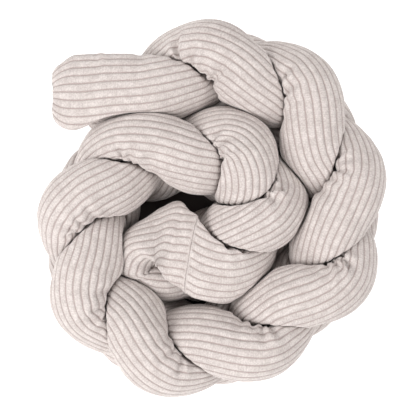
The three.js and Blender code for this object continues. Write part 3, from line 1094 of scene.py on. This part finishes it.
    def build(self) -> bpy.types.Object:
        """Piece with quads between sections, a fan at each end, and a map of length and wale.

        Returns:
            The piece.
        """
        points, at, wale = self.skin()
        along = self.line.stations_at(at).along
        if self.start_sewn_on:
            points[0] += along[0] * self.piece_gap / 2.0
        if self.stop_sewn_on:
            points[-1] -= along[-1] * self.piece_gap / 2.0
        sections, count = points.shape[:2]
        index = np.arange(sections * count).reshape(sections, count)
        index = np.concatenate([index, index[:, :1]], axis=1)
        pitch = self.form.cloth_girth / self.wales.count
        places = np.meshgrid(at / pitch, np.append(wale, self.wales.count), indexing="ij")
        places = np.stack(places, axis=-1)
        corners = [
            (slice(row, row + sections - 1), slice(column, column + count))
            for row, column in ((0, 0), (0, 1), (1, 1), (1, 0))
        ]
        faces = np.stack([index[corner] for corner in corners], axis=-1).reshape(-1, 4).tolist()
        maps = [np.stack([places[corner] for corner in corners], axis=2).reshape(-1, 2)]
        middles = []
        for end, sides in ((0, (1, 0)), (-1, (0, 1))):
            middle = np.full(count, sections * count + len(middles))
            middles.append(points[end].mean(axis=0))
            rims = [(end, slice(side, side + count)) for side in sides]
            faces += np.stack([middle, *(index[rim] for rim in rims)], axis=-1).tolist()
            half = (places[end, :-1] + places[end, 1:]) / 2.0
            maps.append(np.stack([half, *(places[rim] for rim in rims)], axis=1).reshape(-1, 2))
        vertices = np.vstack([points.reshape(-1, 3), *middles]) * MILLIMETRE
        mesh = bpy.data.meshes.new(self.name)
        mesh.from_pydata(vertices.tolist(), [], faces)
        layer = mesh.uv_layers.new(name=WALE_MAP)
        layer.data.foreach_set("uv", np.vstack(maps).astype(np.float32).ravel())
        smooth = np.repeat(1.0 - self.sewn_edge(at)[1], count)
        sewn = mesh.attributes.new(SEWN_SHARE, "FLOAT", "POINT")
        sewn.data.foreach_set("value", np.append(smooth, np.zeros(len(middles))).astype(np.float32))
        mesh.shade_smooth()
        mesh.validate()
        return put(self.name, mesh)

    def dress(self, piece: bpy.types.Object, cloth: bpy.types.Material) -> None:
        """Gives the piece its cloth, puts it on the body and hides the part that it stands for.

        Args:
            piece: the tube's object.
            cloth: its material.
        """
        piece.data.materials.append(cloth)
        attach(piece, BODY)
        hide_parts(self.node)


@dataclass
class BraidedBumper:
    """The plait of three strands: the long tube, in two pieces sewn together, and the single tube."""

    path: PlaitPath = PlaitPath()
    lay: Lay = Lay()
    finish: CorduroyFinish = CorduroyFinish()

    def tubes(self) -> list[CorduroyTube]:
        """The three tubes, laid out along their lines.

        Returns:
            The tube up to the cross seam, the folded one after it, and the single one.
        """
        lines = self.lay.lines(self.path)
        long_line, single = lines
        seam, length = long_line.seam, long_line.length
        seamed = CorduroyTube("corduroy_seamed", "strand_seamed", long_line, lines, 0.0, seam)
        seamed.stop_sewn_on = True
        seamed.drift = (
            *((0.0, 0.4), (110.0, 0.2), (170.0, -1.7), (300.0, -1.9), (570.0, -0.5), (640.0, -2.0)),
            *((1100.0, -2.4), (1540.0, -1.2), (1640.0, -2.6), (1960.0, -0.5)),
            *((seam - 50.0, -2.4), (seam, -1.4)),
        )
        seamed.creases = (Crease(170.0, 18.3, 2.2, 3.5, 4.0, slant=4.0),)
        folded = CorduroyTube("corduroy_folded", "strand_folded", long_line, lines, seam, length)
        folded.start_sewn_on = True
        folded.wale_shift = 0.4
        folded.drift = (
            *((seam, -4.5), (seam + 40.0, -4.0), (seam + 70.0, 0.4), (seam + 110.0, -0.4)),
            *((seam + 140.0, -2.6), (seam + 240.0, -2.6), (length - 1850.0, -2.0), (length - 1760.0, -7.0)),
            *((length - 1640.0, -6.0), (length - 1540.0, -3.0), (length - 730.0, -3.0), (length, -2.2)),
        )
        folded.climb_drift = 0.0
        folded.creases = (
            Crease(length - 1785.0, 0.4, 4.0, 5.0, 6.5),
            Crease(length - 724.0, 16.2, 2.4, 3.5, 4.0, slant=-13.0),
            Crease(length - 267.0, 7.3, 3.6, -4.5, 6.0),
            Crease(length - 200.0, 10.4, 3.6, -4.0, 6.0),
        )
        alone = CorduroyTube("corduroy_single", "strand_single", single, lines, 0.0, single.length)
        alone.drift = (
            *((0.0, -1.6), (900.0, -1.4), (1340.0, -0.8), (1420.0, -2.2), (1860.0, -1.8)),
            *((1895.0, -3.6), (1920.0, -5.0)),
        )
        gathers = ((1842.0, -6.0), (1854.0, -2.0), (1866.0, -2.0))
        alone.creases = tuple(Crease(at, 5.4, 2.2, 3.0, 4.0, slant=slant) for at, slant in gathers)
        return [seamed, folded, alone]

    def build(self) -> list[bpy.types.Object]:
        """Builds and dresses every tube.

        Returns:
            The pieces.
        """
        cloth = self.finish.material()
        pieces = []
        for tube in self.tubes():
            piece = tube.build()
            tube.dress(piece, cloth)
            pieces.append(piece)
        return pieces


@dataclass(frozen=True)
class Lamp:
    """Square area light aimed at the middle of the coil."""

    name: str
    place: tuple[float, float, float]  # in metres
    power: float  # in watts
    size: float = 1.6

    def build(self) -> None:
        """Puts the lamp into the scene."""
        data = bpy.data.lights.new(self.name, "AREA")
        data.size = self.size
        data.energy = self.power
        lamp = put(self.name, data)
        lamp.location = self.place
        lamp.rotation_mode = "QUATERNION"
        lamp.rotation_quaternion = (-Vector(self.place)).to_track_quat("-Z", "Y")


@dataclass(frozen=True)
class Studio:
    """A pale floor, dark with painted shade under the coil and with a painted glow away from it, soft light
    from the left, and a camera straight above. Sizes are in metres.
    """

    camera_height: float = 1.15
    camera_place: Pair = (-0.0083, 0.003)
    focal_pixels: float = 729.3
    image_pixels: float = 416.0
    sensor: float = 36.0  # in millimetres
    floor_half: float = 6.0
    floor_colour: Colour = (0.95, 0.95, 0.95, 1.0)
    floor_roughness: float = 0.9
    # Painted shade: a dark colour put on the floor under the coil, where only shade falls.
    painted_shade_colour: Colour = (0.12, 0.1, 0.095, 1.0)
    painted_shade_within: float = 0.16  # distances from the middle between which the painted shade fades out
    painted_shade_gone: float = 0.22
    # Painted glow: the floor emits light away from the coil, so the shadow that the coil casts there comes
    # out white.
    glow: float = 0.3
    glow_from: float = 0.2  # distances between which the painted glow sets in
    glow_full: float = 0.29
    room_strength: float = 0.28
    lamps: tuple[Lamp, ...] = (
        Lamp("key", (-1.9, -0.6, 1.7), 59.0),
        Lamp("front", (0.3, -2.0, 1.8), 40.0),
        Lamp("fill", (1.9, 0.4, 1.8), 27.0),
        Lamp("back", (-0.2, 2.0, 1.8), 27.0),
    )

    def camera(self) -> None:
        """Camera that looks straight down, with the photograph's angle of view."""
        data = bpy.data.cameras.new("overhead")
        data.sensor_width = self.sensor
        data.lens = self.sensor * self.focal_pixels / self.image_pixels
        camera = put("overhead", data)
        camera.location = (*self.camera_place, self.camera_height)
        bpy.context.scene.camera = camera

    def floor(self) -> None:
        """Wide pale floor, dark under the coil with painted shade, that glows a little away from it as a
        painted glow which washes out the shadow that the coil casts there.
        """
        mesh = bpy.data.meshes.new("floor")
        half = self.floor_half
        corners = [(x * half, y * half, 0) for x, y in ((-1, -1), (1, -1), (1, 1), (-1, 1))]
        mesh.from_pydata(corners, [], [(0, 1, 2, 3)])
        floor = put("floor", mesh)
        material = bpy.data.materials.new("pale_floor")
        material.use_nodes = True
        tree = material.node_tree
        place = add_node(tree, "ShaderNodeTexCoord").outputs["Object"]
        distance = add_node(tree, "ShaderNodeVectorMath", {0: place}, operation="LENGTH").outputs["Value"]

        def ranged(start: float, stop: float, most: float) -> Socket:
            """A value that rises with the distance from the middle, from 0 at start to the most at stop."""
            values = {"Value": distance, "From Min": start, "From Max": stop, "To Max": most}
            return add_node(tree, "ShaderNodeMapRange", values).outputs["Result"]

        # Share clear of the painted shade: the floor's colour runs from the dark painted shade under the coil
        # to pale away from it.
        clear_of_painted_shade = ranged(self.painted_shade_within, self.painted_shade_gone, 1.0)
        look = {
            "Base Color": mixed(tree, clear_of_painted_shade, self.painted_shade_colour, self.floor_colour),
            "Roughness": self.floor_roughness,
            "Specular IOR Level": 0.0,
            "Emission Color": WHITE,
            # painted glow of the floor, rising away from the coil
            "Emission Strength": ranged(self.glow_from, self.glow_full, self.glow),
        }
        set_inputs(tree, tree.nodes["Principled BSDF"], look)
        mesh.materials.append(material)

    def light(self) -> None:
        """A wide key from the left, weaker lamps on the other sides, and a pale room."""
        for lamp in self.lamps:
            lamp.build()
        world = bpy.data.worlds.new("room")
        world.use_nodes = True
        room = {"Color": WHITE, "Strength": self.room_strength}
        set_inputs(world.node_tree, world.node_tree.nodes["Background"], room)
        bpy.context.scene.world = world
        bpy.context.scene.view_settings.view_transform = "Standard"

    def build(self) -> None:
        """Sets up the whole studio."""
        self.camera()
        self.floor()
        self.light()


def main() -> None:
    """Builds the bumper and the studio, and reports each piece."""
    logging.basicConfig(level=logging.INFO, format="%(message)s")
    for piece in BraidedBumper().build():
        LOG.info("%s: %d points, %d faces", piece.name, len(piece.data.vertices), len(piece.data.polygons))
    Studio().build()


if __name__ == "__main__":
    main()
